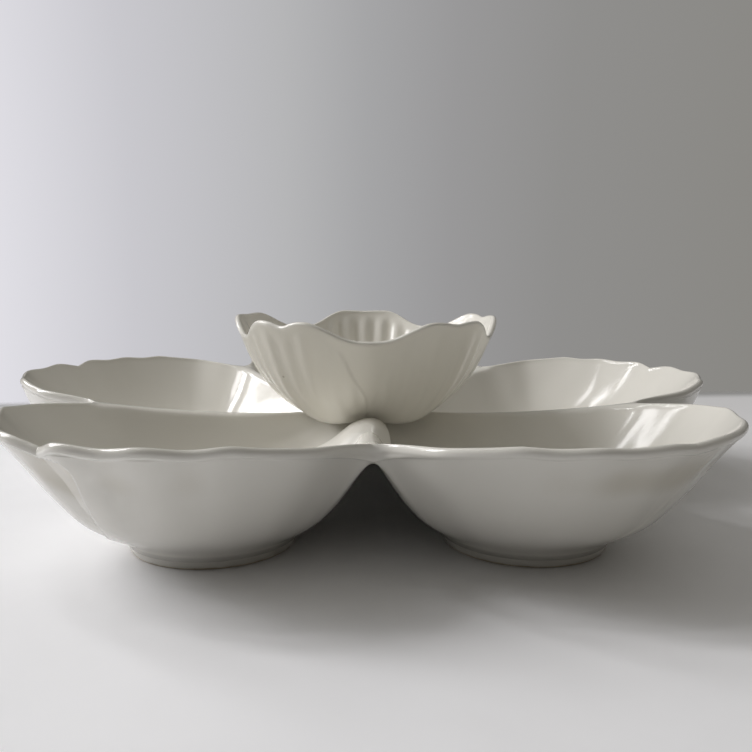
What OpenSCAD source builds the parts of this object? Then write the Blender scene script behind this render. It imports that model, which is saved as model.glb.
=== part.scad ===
// Divided serving bowl: five petal-shaped wells joined in a ring round a raised centre,
// with a loose five-petal dip bowl that nests on the centre.
// The dish axis is vertical; the origin lies under the middle of the whole dish, on the table.

/* [Wells] */
// Distance from the dish axis to the centre of a well
well_reach = 89.5; // [86:0.5:93]
// Radius of a well's rim about the centre of the well
lobe_r = 67.5; // [65:0.5:70]
// Height of the rim at the petal tips
rim_z = 46.3; // [42:0.1:52]
// Distance from the dish axis to the cleft where two rims meet
cleft_reach = 110; // [106:1:113]
// Height of the rim at the cleft
cleft_z = 41.3; // [39:0.1:44]
// Thickness of the rolled lip of a well
lip_t = 2.4; // [2:0.1:4]
// Thickness of a well's floor
floor_t = 3.8; // [3:0.2:6]
// Radius of the flat part of a well's floor
floor_r = 23; // [16:1:25]

/* [Rim shape] */
// How far the small notch at each petal tip cuts in
tip_dip = 1.6; // [0:0.1:4]
// How far the rim drops at that notch
tip_drop = 1.4; // [0:0.1:2]
// Radial swell of the scallops beside the tip
scallop_r = 0.7; // [0:0.1:1.5]
// Rise of the scallops beside the tip
scallop_z = 0.5; // [0:0.1:1]
// How far the sides of a lobe curve in before the cleft
cleft_round = 7; // [4:0.5:9]

/* [Ridges between the wells] */
// Height of a ridge where it starts at the centre
ridge_low_z = 33.1; // [31.5:0.1:34.5]
// Half width of a ridge's rounded crest
ridge_half_w = 3; // [2:0.25:4]
// Drop from the crest to its shoulder
ridge_drop = 1.2; // [0.6:0.1:2]
// Thickness of the body under a ridge crest
ridge_t = 5.8; // [4.5:0.1:7]

/* [Feet] */
// Outer radius of a well's foot ring
foot_r = 28; // [26:0.5:31]
// Width of a foot ring
foot_w = 4; // [3:0.5:6]
// Height of a foot ring
foot_h = 4.5; // [3:0.1:6]

/* [Centre seat] */
// Distance from the dish axis to a corner of the seat
seat_r = 18; // [17:0.5:20]
// Height of the top of the seat
seat_z = 30; // [29:0.1:31]
// Depth of the recess that locates the dip bowl
seat_depth = 2.4; // [1.6:0.1:3]
// Running gap between the dip bowl's foot and the seat
seat_gap = 0.3; // [0.2:0.05:0.5]

/* [Dip bowl] */
// Radius at the petal tips
bowl_r = 56.4; // [54:0.2:60]
// Radius at the valleys between the petals
bowl_valley_r = 52.4; // [50:0.2:54]
// Height of the petal tips above the bowl's underside
bowl_h = 42.5; // [38:0.5:48]
// Height of the valleys above the bowl's underside
bowl_valley_h = 35.5; // [32:0.5:37]
// Depth of the small notch at the middle of each petal
bowl_notch = 1.8; // [0:0.1:3]
// Depth of the lobes that hang below the underside, between the ridges
bowl_sag = 1.5; // [0:0.1:2.4]
// Thickness of the wall
bowl_wall = 3; // [2.4:0.1:4]
// Thickness of the lip
bowl_lip = 2.2; // [1.6:0.1:3]
// Thickness of the floor
bowl_floor_t = 3.4; // [2.6:0.1:4.5]
// Outer radius of the foot ring under the dip bowl
bowl_foot_r = 13; // [11:0.5:13.5]
// Width of that foot ring
bowl_foot_w = 2.6; // [2:0.2:4]
// Height of that foot ring
bowl_foot_h = 2.5; // [2.2:0.1:3]

/* [Stem] */
// Where the stem starts, measured from the dish axis
stem_start = 30; // [29:0.5:32]
// Where the rounded end of the stem lies, measured from the dish axis
stem_end = 58; // [52:1:64]
// Half width of the stem
stem_half_w = 8.6; // [7:0.2:10]
// Height of the stem's top above the ridge crest at its thickest place
stem_rise = 2.6; // [2:0.1:3.2]
// Joint between the stem and the ridge
stem_gap = 0.7; // [0.5:0.05:0.8]

/* [Hidden] */
$fn = 96;
well_count = 5;
sector = 360 / well_count;
half_sector = sector / 2;
// Azimuth of each well's middle, seen from above
front_left = 234;
front_right = 306;
right = 18;
back = 90;
left = 162;
front_ridge = 270;
glaze = [0.93, 0.92, 0.88];
bisque = [0.87, 0.83, 0.76];

// Counts of the mesh that each shell is made of
tip_steps = 13;
cleft_steps = 5;
ridge_steps = 7;
seat_steps = 2;
bowl_steps = 80;
stem_rows = 13;
stem_columns = 14;

// Shares of the way up a wall, from the floor to the lip
inner_shares = [0.08, 0.2, 0.35, 0.5, 0.65, 0.8, 0.92];
outer_shares = [0.92, 0.76, 0.58, 0.4, 0.24, 0.11, 0.03];
bowl_inner_shares = [0.02, 0.06, 0.13, 0.24, 0.4, 0.58, 0.78, 0.93];
bowl_outer_shares = [0.95, 0.82, 0.66, 0.5, 0.36, 0.24, 0.15, 0.08, 0.035, 0.01];
bowl_lip_in_shares = [0.9, 0.5, 0.1, 0];
bowl_lip_down_shares = [0.18, 0, 0.18, 0.5];
// The dip bowl's wall: the two powers of its rounding, its flare at the top, how far it is pinched in
// at the valleys and how soon the pinch dies out upwards, and how high the hanging lobes reach
bowl_round_power = 1.95;
bowl_round_root = 0.437;
bowl_flare_share = 0.117;
bowl_pinch_share = 0.4;
bowl_pinch_power = 3.3;
bowl_hang_share = 0.048;
// Half angle between a petal's two peaks, and how pointed the petal is
petal_turn = 10;
petal_power = 1.5;
// Where the stem starts to taper, its width at the tip and its height at the start
stem_full_share = 0.55;
stem_tip_share = 0.04;
stem_low_share = 0.35;
// Rim section of a well: distance in from the edge and depth below the top, as shares of the lip
lip_in_shares = [1, 0.78, 0.5, 0.16, 0, 0.08, 0.35];
lip_down_shares = [0.5, 0.14, 0, 0.2, 0.5, 0.86, 1.25];
// Ridge section: distance in as shares of the half width, drop as shares of ridge_drop,
// and depth below the crest as shares of the body under it
crest_in_shares = [1, 0.6, 0.28, 0, 0, 0, 0];
crest_drop_shares = [1, 0.4, 0.1, 0, 0, 0, 0];
crest_down_shares = [0, 0, 0, 0, 0.33, 0.67, 1];
// How far the wall bulges out from a straight cone, as a share of its height, on the free side and
// under a ridge
free_bulge_share = 0.12;
bulge_share = 0.17;
// How fast the inside rounds up from the floor, smaller for a tighter corner
floor_round_share = 0.02;
// Where the rim stops being round and turns in to the cleft, in degrees about the well's centre
rim_turn = 66;
// Where the free wall starts to take the shape that it has under a ridge
free_turn = 55;
// Pitch and first crest of the scallops and where they fade out, in degrees about the well's centre
scallop_turn = 20.5;
scallop_first = 10;
scallop_end = 62;
tip_turn = 6;
// The ridge's crest rises from ridge_low_z to cleft_z with this power
ridge_power = 1.7;
// Where the rim starts to fall to the cleft, in degrees about the well's centre
fall_turn = 50;
// Powers with which the rim falls to the cleft and the crest to the seat
rim_fall_power = 1.1;
seat_fall_power = 1.5;
// Where the crest starts to fall towards the seat, measured in seat radii
crest_start_share = 1.67;

// Named heights that follow from the sizes above
floor_z = foot_h + floor_t;
seat_floor_z = seat_z - seat_depth;
bowl_z = seat_floor_z + seat_gap + bowl_foot_h;
crest_start = crest_start_share * seat_r;
seat_flat = seat_r * cos(half_sector);
foot_land = foot_r + foot_w / 10;
seat_hole_r = bowl_foot_r + 2 * seat_gap;
bowl_disc_r = bowl_foot_r + bowl_foot_w / 2;

function smooth(x) = let (u = min(1, max(0, x))) u * u * (3 - 2 * u);
function polar(r, a) = [r * cos(a), r * sin(a)];

// Scallop wave of the rim at angle p about the well's centre, from -1 to 1
function scallop(p) = cos(360 * (p - scallop_first) / scallop_turn)
    * (1 - smooth((p - 2 * scallop_turn) / (scallop_end - 2 * scallop_turn)));
function tip_fall(p) = exp(-pow(p / tip_turn, 2));

// Distance of the round part of the rim from the well's centre
function rim_d(p) = lobe_r + scallop_r * scallop(p) - tip_dip * tip_fall(p);
// Height of the rim
function rim_h(p) = rim_z + scallop_z * scallop(p) - tip_drop * tip_fall(p)
    - (rim_z - cleft_z) * pow(min(1, max(0, p - fall_turn) / (cleft_turn - fall_turn)), rim_fall_power);

// The rim turns in to the cleft along a cubic curve that crosses the ridge line squarely
cleft_point = polar(cleft_reach, half_sector);
cleft_turn = atan2(cleft_point[1], cleft_point[0] - well_reach);
turn_point = [well_reach, 0] + polar(rim_d(rim_turn), rim_turn);
turn_hold = turn_point + polar(lobe_r / 7, rim_turn + 90);
cleft_hold = cleft_point - polar(cleft_round, half_sector + 90);
function cleft_curve(s) = pow(1 - s, 3) * turn_point + 3 * s * pow(1 - s, 2) * turn_hold
    + 3 * s * s * (1 - s) * cleft_hold + pow(s, 3) * cleft_point;

// Height of a ridge's crest at distance t from the dish axis
function crest_h(t) = ridge_low_z
    + (cleft_z - ridge_low_z) * pow(max(0, t - crest_start) / (cleft_reach - crest_start), ridge_power)
    - (ridge_low_z - seat_z) * pow(max(0, crest_start - t) / (crest_start - seat_r), seat_fall_power);

// Edge of one half of a well, from the petal tip round to the seat.
// Each entry is [x, y, height, share of the ridge section].
rim_edge = [for (i = [0 : tip_steps]) let (
    p = rim_turn * i / tip_steps,
    b = [well_reach, 0] + polar(rim_d(p), p))
    [b[0], b[1], rim_h(p), 0]];
cleft_edge = [for (i = [1 : cleft_steps]) let (
    s = i / cleft_steps,
    b = cleft_curve(s),
    p = atan2(b[1], b[0] - well_reach))
    [b[0], b[1], rim_h(p), s * s]];
ridge_edge = [for (i = [1 : ridge_steps]) let (
    t = cleft_reach + (seat_r - cleft_reach) * i / ridge_steps,
    b = polar(t, half_sector))
    [b[0], b[1], crest_h(t), 1]];
seat_edge = [for (i = [1 : seat_steps])
    [seat_flat, seat_r * sin(half_sector) * (1 - i / seat_steps), seat_z, 1]];
half_edge = concat(rim_edge, cleft_edge, ridge_edge, seat_edge);
last = len(half_edge) - 1;
// The whole edge, once round
well_edge = concat(half_edge,
    [for (i = [last - 1 : -1 : 1]) [half_edge[i][0], -half_edge[i][1], half_edge[i][2], half_edge[i][3]]]);

// Share of the wall's height at share w of the way out; k is 1 for a free wall, 0 under a ridge
function wall_rise(w, k) = w - mix(bulge_share, free_bulge_share, k) * sin(180 * w);
function floor_rise(w, k) = wall_rise(w, k) * w * w * (1 + floor_round_share) / (w * w + floor_round_share);
function wall_free(p) = 1 - smooth((p - free_turn) / free_turn);

function mix(a, b, s) = a * (1 - s) + b * s;
// Distance in and depth down of lip row i, where share e of the ridge section is mixed in
function lip_in(i, e) = mix(lip_in_shares[i] * lip_t, crest_in_shares[i] * ridge_half_w, e);
function lip_down(i, e) = mix(lip_down_shares[i] * lip_t,
    crest_drop_shares[i] * ridge_drop + crest_down_shares[i] * ridge_t, e);

// One column of a well's skin, from the floor over the lip and down to the foot
function well_column(edge) = let (
    dx = edge[0] - well_reach,
    d = norm([dx, edge[1]]),
    p = abs(atan2(edge[1], dx)),
    k = wall_free(p),
    e = edge[3],
    rows = len(lip_in_shares) - 1,
    in_d = d - lip_in(0, e),
    in_z = edge[2] - lip_down(0, e),
    out_d = d - lip_in(rows, e),
    out_z = edge[2] - lip_down(rows, e))
    concat(
        [[floor_r, floor_z]],
        [for (w = inner_shares) [mix(floor_r, in_d, w), mix(floor_z, in_z, floor_rise(w, k))]],
        [for (i = [0 : rows]) [d - lip_in(i, e), edge[2] - lip_down(i, e)]],
        [for (w = outer_shares) [mix(foot_land, out_d, w), mix(foot_h, out_z, wall_rise(w, k))]],
        [[foot_land, foot_h]]
    );

// Columns are pairs of distance and height along a direction; this places one in space
function place_column(edge) = let (
    dx = edge[0] - well_reach,
    d = norm([dx, edge[1]]))
    [for (q = well_column(edge)) [well_reach + dx / d * q[0], edge[1] / d * q[0], q[1]]];

// A closed skin from columns that run from an inner pole to an outer pole
module skin(columns, first_pole, last_pole) {
    n = len(columns);
    m = len(columns[0]);
    points = concat([first_pole], [for (c = columns) each c], [last_pole]);
    faces = concat(
        [for (j = [0 : n - 1]) [0, 1 + ((j + 1) % n) * m, 1 + j * m]],
        [for (j = [0 : n - 1]) let (a = 1 + j * m, b = 1 + ((j + 1) % n) * m)
            for (i = [0 : m - 2]) each [[a + i, b + i, a + i + 1], [b + i, b + i + 1, a + i + 1]]],
        [for (j = [0 : n - 1]) [n * m + 1, j * m + m, ((j + 1) % n) * m + m]]
    );
    polyhedron(points = points, faces = faces, convexity = 6);
}

// The rim reaches furthest back at the back well and furthest forward at the two front wells
function edge_y(e, a) = e[0] * sin(a) + e[1] * cos(a);
back_y = max([for (e = well_edge) edge_y(e, back)]);
front_y = min([for (e = well_edge) edge_y(e, front_left)]);
dish_y = -(back_y + front_y) / 2;
module at_dish() {
    translate([0, dish_y, 0]) children();
}

module well(azimuth) {
    color(glaze) at_dish() rotate(azimuth)
        skin([for (e = well_edge) place_column(e)], [well_reach, 0, floor_z], [well_reach, 0, foot_h]);
}

module foot_ring(azimuth) {
    color(bisque) at_dish() rotate(azimuth) translate([well_reach, 0, 0])
        difference() {
            cylinder(r = foot_r, h = foot_h);
            translate([0, 0, -foot_h / 2]) cylinder(r = foot_r - foot_w, h = 2 * foot_h);
        }
}

module center_seat() {
    color(glaze) at_dish() difference() {
        translate([0, 0, seat_z - ridge_t]) linear_extrude(ridge_t)
            polygon([for (i = [0 : well_count - 1]) polar(seat_r, front_ridge + i * sector)]);
        translate([0, 0, seat_floor_z]) cylinder(r = seat_hole_r, h = ridge_t);
    }
}

// Height of the dish's upper skin beside a ridge: t from the axis, s across from the crest
function ridge_h(t, s) = let (
    x = t * cos(half_sector) + abs(s) * sin(half_sector) - well_reach,
    y = t * sin(half_sector) - abs(s) * cos(half_sector),
    p = atan2(y, x),
    d = well_reach * sin(half_sector) / sin(p - half_sector),
    crest = crest_h(norm([well_reach + d * cos(p), d * sin(p)])),
    r = norm([x, y]),
    in_d = d - ridge_half_w,
    fall = min(1, max(0, (d - r) / ridge_half_w)),
    w = max(0, (r - floor_r) / (in_d - floor_r)))
    r > in_d ? crest - ridge_drop * fall * fall
        : mix(floor_z, crest - ridge_drop, floor_rise(w, wall_free(p)));

// The stem lies over the front ridge as a rounded stub; s is the share of its length, c of its half width
function stem_taper(s) = max(0, s - stem_full_share) / (1 - stem_full_share);
function stem_w(s) = stem_half_w * sqrt(max(stem_tip_share, 1 - pow(stem_taper(s), 2)));
function stem_swell(s) = mix(stem_low_share, 1, smooth(2 * s)) * (1 - pow(max(0, 2 * s - 1), 3));
function stem_top(s, c) = let (
    t = mix(stem_start, stem_end, s),
    side = ridge_h(t, stem_w(s)))
    mix(side, crest_h(t) + stem_rise * stem_swell(s), sqrt(1 - c * c)) + 2 * stem_gap;

module stem() {
    columns = [for (c = [0 : stem_columns]) -1 + 2 * c / stem_columns];
    rows = [for (r = [0 : stem_rows]) r / stem_rows];
    n = stem_columns + 1;
    m = stem_rows + 1;
    upper = [for (s = rows) for (c = columns)
        [stem_w(s) * c, -mix(stem_start, stem_end, s), stem_top(s, c)]];
    lower = [for (s = rows) for (c = columns) let (
        t = mix(stem_start, stem_end, s),
        h = ridge_h(t, stem_w(s) * c) + stem_gap)
        [stem_w(s) * c, -t, min(h, stem_top(s, c) - stem_gap)]];
    k = n * m;
    sheet = [for (r = [0 : m - 2]) for (c = [0 : n - 2]) let (a = r * n + c)
        each [[a, a + 1, a + n], [a + 1, a + n + 1, a + n]]];
    under = [for (f = sheet) [f[0] + k, f[2] + k, f[1] + k]];
    sides = concat(
        [for (c = [0 : n - 2]) each [[c, c + k, c + 1], [c + 1, c + k, c + 1 + k]]],
        [for (c = [0 : n - 2]) let (a = (m - 1) * n + c)
            each [[a, a + 1, a + k], [a + 1, a + 1 + k, a + k]]],
        [for (r = [0 : m - 2]) let (a = r * n) each [[a, a + n, a + k], [a + n, a + n + k, a + k]]],
        [for (r = [0 : m - 2]) let (a = r * n + n - 1) each [[a, a + k, a + n], [a + n, a + k, a + n + k]]]
    );
    color(glaze) at_dish() polyhedron(points = concat(upper, lower), faces = concat(sheet, under, sides),
        convexity = 4);
}

// Dip bowl: a is the angle from the middle of the nearest petal, h the share of the height
function petal(a) = (1 + cos(well_count * a)) / 2;
function petal_rise(a) = pow((1 + cos(180 * max(0, abs(a) - petal_turn) / (half_sector - petal_turn))) / 2,
    petal_power);
function petal_notch(a) = exp(-pow(2 * a / petal_turn, 2));
function bowl_top_h(a) = mix(bowl_valley_h, bowl_h, petal_rise(a)) - bowl_notch * petal_notch(a);
function bowl_top_r(a) = mix(bowl_valley_r, bowl_r, petal_rise(a)) - bowl_notch * petal_notch(a) / 2;
// Share of the way out at share h of the height: full and round, with a flare at the top
function bowl_round(h) = pow(1 - pow(1 - h, bowl_round_power), bowl_round_root);
function bowl_out(h, a) = mix(bowl_round(h), pow(h, 4), bowl_flare_share)
    * (1 - bowl_pinch_share * pow(1 - petal(a), 2) * pow(1 - h, bowl_pinch_power));
function bowl_hang(h, a) = bowl_sag * petal(a) * h / bowl_hang_share * exp(1 - h / bowl_hang_share);

function bowl_column(azimuth) = let (
    a = ((azimuth - right + half_sector + 360) % sector) - half_sector,
    top_h = bowl_top_h(a),
    top_r = bowl_top_r(a),
    in_r = bowl_disc_r - bowl_wall,
    lip_z = top_h - bowl_lip / 2,
    section = concat(
        [[in_r, bowl_floor_t]],
        [for (h = bowl_inner_shares)
            [mix(in_r, top_r - bowl_lip, bowl_out(h, a)), mix(bowl_floor_t, lip_z, h)]],
        [for (i = [0 : len(bowl_lip_in_shares) - 1])
            [top_r - bowl_lip * bowl_lip_in_shares[i], top_h - bowl_lip * bowl_lip_down_shares[i]]],
        [for (h = bowl_outer_shares)
            [mix(bowl_disc_r, top_r, bowl_out(h, a)), lip_z * h - bowl_hang(h, a)]],
        [[bowl_disc_r, 0]]))
    [for (w = section) [w[0] * cos(azimuth), w[0] * sin(azimuth), w[1]]];

module dip_bowl() {
    color(glaze) at_dish() translate([0, 0, bowl_z])
        skin([for (i = [0 : bowl_steps - 1]) bowl_column(right + 360 * i / bowl_steps)],
            [0, 0, bowl_floor_t], [0, 0, 0]);
}

module dip_bowl_foot() {
    color(bisque) at_dish() translate([0, 0, bowl_z - bowl_foot_h]) difference() {
        cylinder(r = bowl_foot_r, h = bowl_foot_h);
        translate([0, 0, -bowl_foot_h / 2]) cylinder(r = bowl_foot_r - bowl_foot_w, h = 2 * bowl_foot_h);
    }
}

well(front_left);  // well_front_left
well(front_right);  // well_front_right
well(right);  // well_right
well(back);  // well_back
well(left);  // well_left
foot_ring(front_left);  // foot_ring_front_left
foot_ring(front_right);  // foot_ring_front_right
foot_ring(right);  // foot_ring_right
foot_ring(back);  // foot_ring_back
foot_ring(left);  // foot_ring_left
center_seat();
stem();
dip_bowl();
dip_bowl_foot();
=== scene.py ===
import math
import bmesh
import bpy
import numpy as np
from mathutils import Matrix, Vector
from mathutils.bvhtree import BVHTree


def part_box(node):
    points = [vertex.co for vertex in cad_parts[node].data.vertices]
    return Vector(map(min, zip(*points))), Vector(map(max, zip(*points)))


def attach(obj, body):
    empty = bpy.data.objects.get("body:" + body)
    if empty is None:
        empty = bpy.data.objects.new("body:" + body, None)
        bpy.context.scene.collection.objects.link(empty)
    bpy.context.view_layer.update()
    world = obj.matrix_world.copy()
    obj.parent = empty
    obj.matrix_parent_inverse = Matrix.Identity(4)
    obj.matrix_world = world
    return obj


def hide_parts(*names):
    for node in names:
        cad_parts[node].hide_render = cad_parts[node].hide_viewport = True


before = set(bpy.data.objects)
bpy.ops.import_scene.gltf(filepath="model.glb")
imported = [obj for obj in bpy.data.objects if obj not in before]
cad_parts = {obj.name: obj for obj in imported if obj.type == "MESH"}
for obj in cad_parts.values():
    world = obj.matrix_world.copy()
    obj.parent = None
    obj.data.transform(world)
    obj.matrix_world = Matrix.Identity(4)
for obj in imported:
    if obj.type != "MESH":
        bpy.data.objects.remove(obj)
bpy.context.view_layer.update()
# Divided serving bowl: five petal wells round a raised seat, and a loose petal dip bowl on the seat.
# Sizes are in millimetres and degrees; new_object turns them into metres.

MM = 0.001

# Places read from the frame, in millimetres
foot_low, foot_high = [np.array(c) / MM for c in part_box("foot_ring_back")]
cup_low, cup_high = [np.array(c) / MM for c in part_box("dip_bowl_foot")]
seat_low, seat_high = [np.array(c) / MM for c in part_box("center_seat")]
bowl_low, bowl_high = [np.array(c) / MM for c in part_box("dip_bowl")]
AXIS = np.append((cup_low + cup_high)[:2] / 2, 0)
WELL_REACH = (foot_low + foot_high)[1] / 2 - AXIS[1]
FOOT_R = (foot_high - foot_low)[0] / 2
FOOT_H = foot_high[2]
CUP_R = (cup_high - cup_low)[0] / 2
CUP_Z = cup_low[2]
BOWL_Z = cup_high[2]
SEAT_Z = seat_high[2]
SEAT_T = (seat_high - seat_low)[2]
SEAT_R = AXIS[1] - seat_low[1]

# Dish
WELLS = {"front_left": 234, "front_right": 306, "right": 18, "back": 90, "left": 162}
# The piece is hand finished: how far each petal's pleat lies from the middle of its tip in degrees,
# and shares for the depth of its notch and of its scallops
PETALS = {
    "front_left": (1, 1.15, 1),
    "front_right": (-6.5, 0.3, 0.45),
    "right": (6, 0.75, 0.55),
    "back": (0, 1, 1),
    "left": (-10, 0.8, 0.6),
}
SECTOR = 360 / len(WELLS)
HALF = SECTOR / 2
LOBE_R = 66.9
RIM_Z = 46.3
CLEFT_REACH = 110
CLEFT_Z = 41.3
CLEFT_ROUND = 7
# How far the lobe's own curve is held on before it turns in to the cleft
CLEFT_HOLD = LOBE_R / 7
LIP = 2.4
FLOOR_T = 3.8
FLOOR_Z = FOOT_H + FLOOR_T
FLOOR_R = 23
TIP_DIP = 1.6
TIP_DROP = 1.4
TIP_TURN = 6
# The crimp at the very tip: its depth, and the degrees in which it fades
CRIMP = 0.5
CRIMP_TURN = 0.9
SCALLOP_R = 0.7
SCALLOP_Z = 0.5
SCALLOP_TURN = 20.5
SCALLOP_FIRST = 10
SCALLOP_END = 62
RIM_TURN = 66
# Where the rim starts to fall to the cleft, and with which power
FALL_TURN = 50
RIM_FALL_POWER = 1.1
PLEAT_END = 60
# The petal tip, where the pleat needs a finer mesh
TIP_FINE = 20
RIDGE_LOW_Z = 33.1
RIDGE_HALF_W = 3
RIDGE_DROP = 1.2
CREST_START = 1.67 * SEAT_R
RIDGE_POWER = 1.7
FALL_POWER = 1.5
FREE_BULGE = 0.12
BULGE = 0.17
FREE_TURN = 55
FLOOR_ROUND = 0.02
# Depth of the rounding where two wells meet under a ridge
FILLET = 2.2
# Degrees over which the corners of a well's inside are rounded, the least of it between the corners,
# the breadth of the corner at a cleft, and where the corners at the seat start and are reached
CORNER_TURN = 9.5
CORNER_LEAST = 0.3
CLEFT_CORNER = 17
SEAT_CORNER_FROM = 140
SEAT_CORNER_TURN = 25
# Gaps under and beside the dip bowl's foot in the seat's recess
SEAT_GAP = 0.3
SEAT_SIDE_GAP = 0.6
SEAT_FLOOR_Z = CUP_Z - SEAT_GAP
SEAT_HOLE_R = CUP_R + SEAT_SIDE_GAP
# The recess's eased edge, as distance out and depth down, the cove at its floor, and the last ring of
# points round the middle
SEAT_EDGE = ((0.5, 0), (0.1, 0.15), (0, 0.6))
SEAT_COVE = 0.5
MIDDLE_R = 0.5
# Bead of the lip: distance in and depth down, as shares of its thickness
LIP_IN = (1.0, 0.78, 0.5, 0.16, 0.0, 0.06, 0.42)
LIP_DOWN = (0.5, 0.14, 0.0, 0.2, 0.55, 0.98, 1.3)
# End face of a ridge at the cleft: a bead, a groove and the edge of the web between the wells,
# as distance back towards the axis and depth down
FACE_BACK = (0.45, 0.12, 0.0, 0.0, 0.08, 0.45, 0.8, 0.62, 0.5, 0.62)
FACE_DOWN = (0.3, 0.65, 1.1, 1.7, 2.4, 2.95, 3.25, 3.8, 5.1, 5.4)
FOOT_RING_W = 4
FOOT_STEP = 0.1
# How far the glazed wall runs down the side of its foot ring, and the share of the wall that does so
FOOT_FILLET = 1.7
FOOT_FILLET_SHARE = 0.03
# Section of a foot ring: how far it is let into the body, then distance in from its outer wall and share
# of its height, distance in and height at its eased outer edge, and the same from its inner wall
FOOT_SUNK = 0.3
FOOT_DRAFT_SHARES = ((0.1, 0.7), (0.45, 0.36))
FOOT_OUTER_EDGE = ((0.8, 0.5), (1.05, 0.16), (1.4, 0.02), (1.6, 0))
FOOT_INNER_EDGE = ((1.1, 0), (0.8, 0.04), (0.4, 0.25), (0.15, 0.8))

# Dip bowl; its underside is at height 0
BOWL_R = 56.4
BOWL_VALLEY_R = 52.4
BOWL_H = 42.4
BOWL_VALLEY_H = 35.5
BOWL_NOTCH = 1.8
# How deep the notch of each petal is; the piece is hand finished
BOWL_NOTCH_SHARES = {"front_left": 1.0, "front_right": 0.5, "right": 0.6, "back": 0.15, "left": 0.15}
BOWL_SAG = 1.5
BOWL_WALL = 3
BOWL_LIP = 2.2
BOWL_FLOOR = 3.4
# How far the plain disc underneath reaches past the foot ring
BOWL_DISC_LEDGE = 1.3
BOWL_DISC_R = CUP_R + BOWL_DISC_LEDGE
CUP_RING_W = 2.6
PETAL_TURN = 10
PETAL_POWER = 1.5
# The wall's section, its flare and how far it is pinched in at the valleys
BOWL_ROUND = 1.95
BOWL_ROUND_ROOT = 0.437
BOWL_FLARE = 0.117
BOWL_PINCH = 0.4
BOWL_PINCH_POWER = 3.3
BOWL_HANG = 0.048


def mix(a, b, s):
    return a * (1 - s) + b * s


def smooth(x):
    u = np.clip(x, 0, 1)
    return u * u * (3 - 2 * u)


def grown(x, start, width):
    """From 0 at start to 1 past that width."""
    return smooth((x - start) / width)


def ended(x, end, width):
    """From 1 to 0 at end, over that width."""
    return smooth((end - x) / width)


def bump(x, centre, width):
    """A bell of height 1 at centre."""
    return np.exp(-((x - centre) / width) ** 2)


def polar(r, a):
    """Point at distance r and angle a in degrees."""
    return np.stack([r * np.cos(np.radians(a)), r * np.sin(np.radians(a))], axis=-1)


def through(values, steps):
    """A smooth curve through the values, with that many steps between two of them."""
    v = np.array([2 * values[0] - values[1], *values, 2 * values[-1] - values[-2]])
    out = []
    for i in range(1, len(v) - 2):
        for s in np.arange(steps) / steps:
            out.append(0.5 * (2 * v[i] + (v[i + 1] - v[i - 1]) * s
                + (2 * v[i - 1] - 5 * v[i] + 4 * v[i + 1] - v[i + 2]) * s ** 2
                + (3 * v[i] - v[i - 1] - 3 * v[i + 1] + v[i + 2]) * s ** 3))
    return np.array(out + [v[-2]])


def scallop(p):
    fade = 1 - smooth((p - 2 * SCALLOP_TURN) / (SCALLOP_END - 2 * SCALLOP_TURN))
    return np.cos(2 * np.pi * (p - SCALLOP_FIRST) / SCALLOP_TURN) * fade


def rim_d(p, notch=1, waves=1):
    return LOBE_R + SCALLOP_R * waves * scallop(p) - TIP_DIP * notch * bump(p, 0, TIP_TURN)


cleft_point = polar(CLEFT_REACH, HALF)
CLEFT_TURN = math.degrees(math.atan2(cleft_point[1], cleft_point[0] - WELL_REACH))


def rim_h(p, turn, notch=1, waves=1):
    """Height of the rim at angle p of the scallops and at that turn about the well's centre."""
    fall = np.clip((turn - FALL_TURN) / (CLEFT_TURN - FALL_TURN), 0, 1) ** RIM_FALL_POWER
    return RIM_Z + SCALLOP_Z * waves * scallop(p) - TIP_DROP * notch * bump(p, 0, TIP_TURN) \
        - (RIM_Z - CLEFT_Z) * fall


def cleft_curve(s):
    s = s[:, None]
    turn = np.array([WELL_REACH, 0]) + polar(rim_d(RIM_TURN), RIM_TURN)
    turn_hold = turn + polar(CLEFT_HOLD, RIM_TURN + 90)
    cleft_hold = cleft_point - polar(CLEFT_ROUND, HALF + 90)
    return (1 - s) ** 3 * turn + 3 * s * (1 - s) ** 2 * turn_hold + 3 * s * s * (1 - s) * cleft_hold \
        + s ** 3 * cleft_point


def crest_h(t):
    rise = (np.maximum(0, t - CREST_START) / (CLEFT_REACH - CREST_START)) ** RIDGE_POWER
    fall = (np.maximum(0, CREST_START - t) / (CREST_START - SEAT_R)) ** FALL_POWER
    return RIDGE_LOW_Z + (CLEFT_Z - RIDGE_LOW_Z) * rise - (RIDGE_LOW_Z - SEAT_Z) * fall


def scallop_angle(turn, pleat):
    """Angle in the pattern of scallops, which is turned to bring the petal's pleat to its place."""
    return turn - pleat * (1 - smooth(np.abs(turn) / PLEAT_END))


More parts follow.
